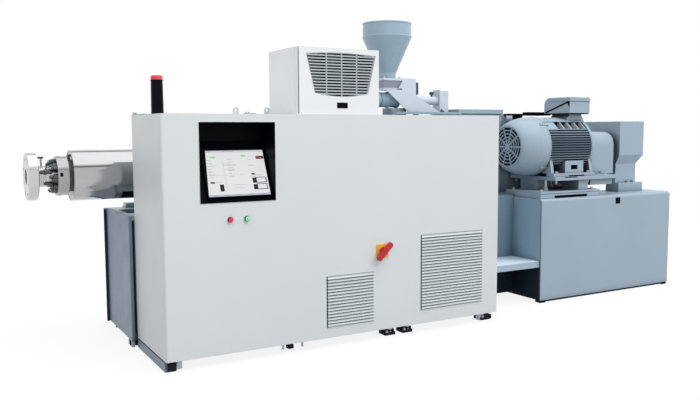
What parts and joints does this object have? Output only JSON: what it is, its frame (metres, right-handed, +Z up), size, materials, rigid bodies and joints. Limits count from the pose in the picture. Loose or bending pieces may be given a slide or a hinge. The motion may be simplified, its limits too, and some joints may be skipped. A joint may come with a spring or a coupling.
{
  "type": "plastic extruder",
  "caption": "Plastic extruder line: control cabinet with tilted screen, covered barrel with outlet flange, feed hopper, gearbox and side-mounted drive motor on a steel base.",
  "frame": {"origin": "on the floor under the middle of the machine's length and depth", "axes": "+X along the machine from the outlet flange towards the drive end, +Y from the control cabinet's front to the back, +Z up"},
  "size_m": [5.316, 1.3724, 2.27],
  "materials": {
    "cabinet_paint": "satin",
    "cooler_paint": "satin",
    "machine_paint": "satin",
    "vent_paint": "satin",
    "black_trim": "matte",
    "screen": "gloss",
    "switch_yellow": "satin",
    "switch_red": "gloss",
    "button_red": "gloss",
    "button_green": "gloss",
    "beacon_black": "gloss",
    "beacon_red": "gloss",
    "foot_rubber": "matte",
    "polished_steel": "polished",
    "machined_steel": "machined",
    "dark_steel": "oiled",
    "fan_plastic": "matte"
  },
  "bodies": {
    "machine": {"cabinet_shell": "cabinet_paint", "cooling_unit": "cooler_paint", "cooling_unit_grille": "cooler_paint", "lifting_lugs": "cooler_paint", "cabinet_skid": "machine_paint", "base_frame": "machine_paint", "base_side_box": "machine_paint", "base_end_panel": "machine_paint", "drive_base": "machine_paint", "drive_base_panel": "machine_paint", "service_shelf": "machine_paint", "barrel_saddles": "machine_paint", "feed_housing": "machine_paint", "metering_tube": "machine_paint", "metering_box": "machine_paint", "feeder_bracket": "machine_paint", "cable_tray": "machine_paint", "shaft_plinth": "machine_paint", "hopper": "machine_paint", "hopper_flange": "machine_paint", "metering_drive": "machine_paint", "reduction_gearbox": "machine_paint", "gearbox_end_cover": "machine_paint", "gearbox_top_plate": "machine_paint", "input_shaft_cover": "machine_paint", "transfer_box": "machine_paint", "pedestal_block": "machine_paint", "motor_frame": "machine_paint", "fan_cowl": "machine_paint", "fan_grille": "machine_paint", "terminal_box": "machine_paint", "motor_plate": "machine_paint", "plate_spacers": "machine_paint", "slide_rails": "machine_paint", "coupling_guard": "machine_paint", "small_vent_grille": "vent_paint", "large_vent_grille": "vent_paint", "recess_liner": "black_trim", "panel_latch": "black_trim", "cable_duct": "black_trim", "metering_box_cover": "black_trim", "button_collars": "black_trim", "touch_screen": "screen", "switch_plate": "switch_yellow", "beacon_column": "beacon_black", "beacon_cap": "beacon_red", "cabinet_feet": "foot_rubber", "base_feet": "foot_rubber", "barrel_cover": "polished_steel", "extruder_barrel": "machined_steel", "barrel_flange": "machined_steel", "adapter_neck": "machined_steel", "outlet_flange": "machined_steel", "clamp_bolts": "dark_steel"},
    "main_switch": {"switch_handle": "switch_red"},
    "red_push_button": {"red_button": "button_red"},
    "green_push_button": {"green_button": "button_green"},
    "cooling_fan": {"motor_fan": "fan_plastic"}
  },
  "joints": [
    {"name": "main_switch_turn", "type": "hinge", "parent": "machine", "child": "main_switch", "pos_m": [-0.574, -0.63375, 0.606], "axis": [0, 1, 0], "range_deg": [-45, 45]},
    {"name": "red_button_press", "type": "slide", "parent": "machine", "child": "red_push_button", "axis": [0, 1, 0], "range_m": [0, 0.004], "stiffness_N_per_m": 600},
    {"name": "green_button_press", "type": "slide", "parent": "machine", "child": "green_push_button", "axis": [0, 1, 0], "range_m": [0, 0.004], "stiffness_N_per_m": 600},
    {"name": "motor_fan_spin", "type": "hinge", "parent": "machine", "child": "cooling_fan", "pos_m": [1.055, -0.06275, 1.272], "axis": [1, 0, 0], "continuous": true}
  ]
}
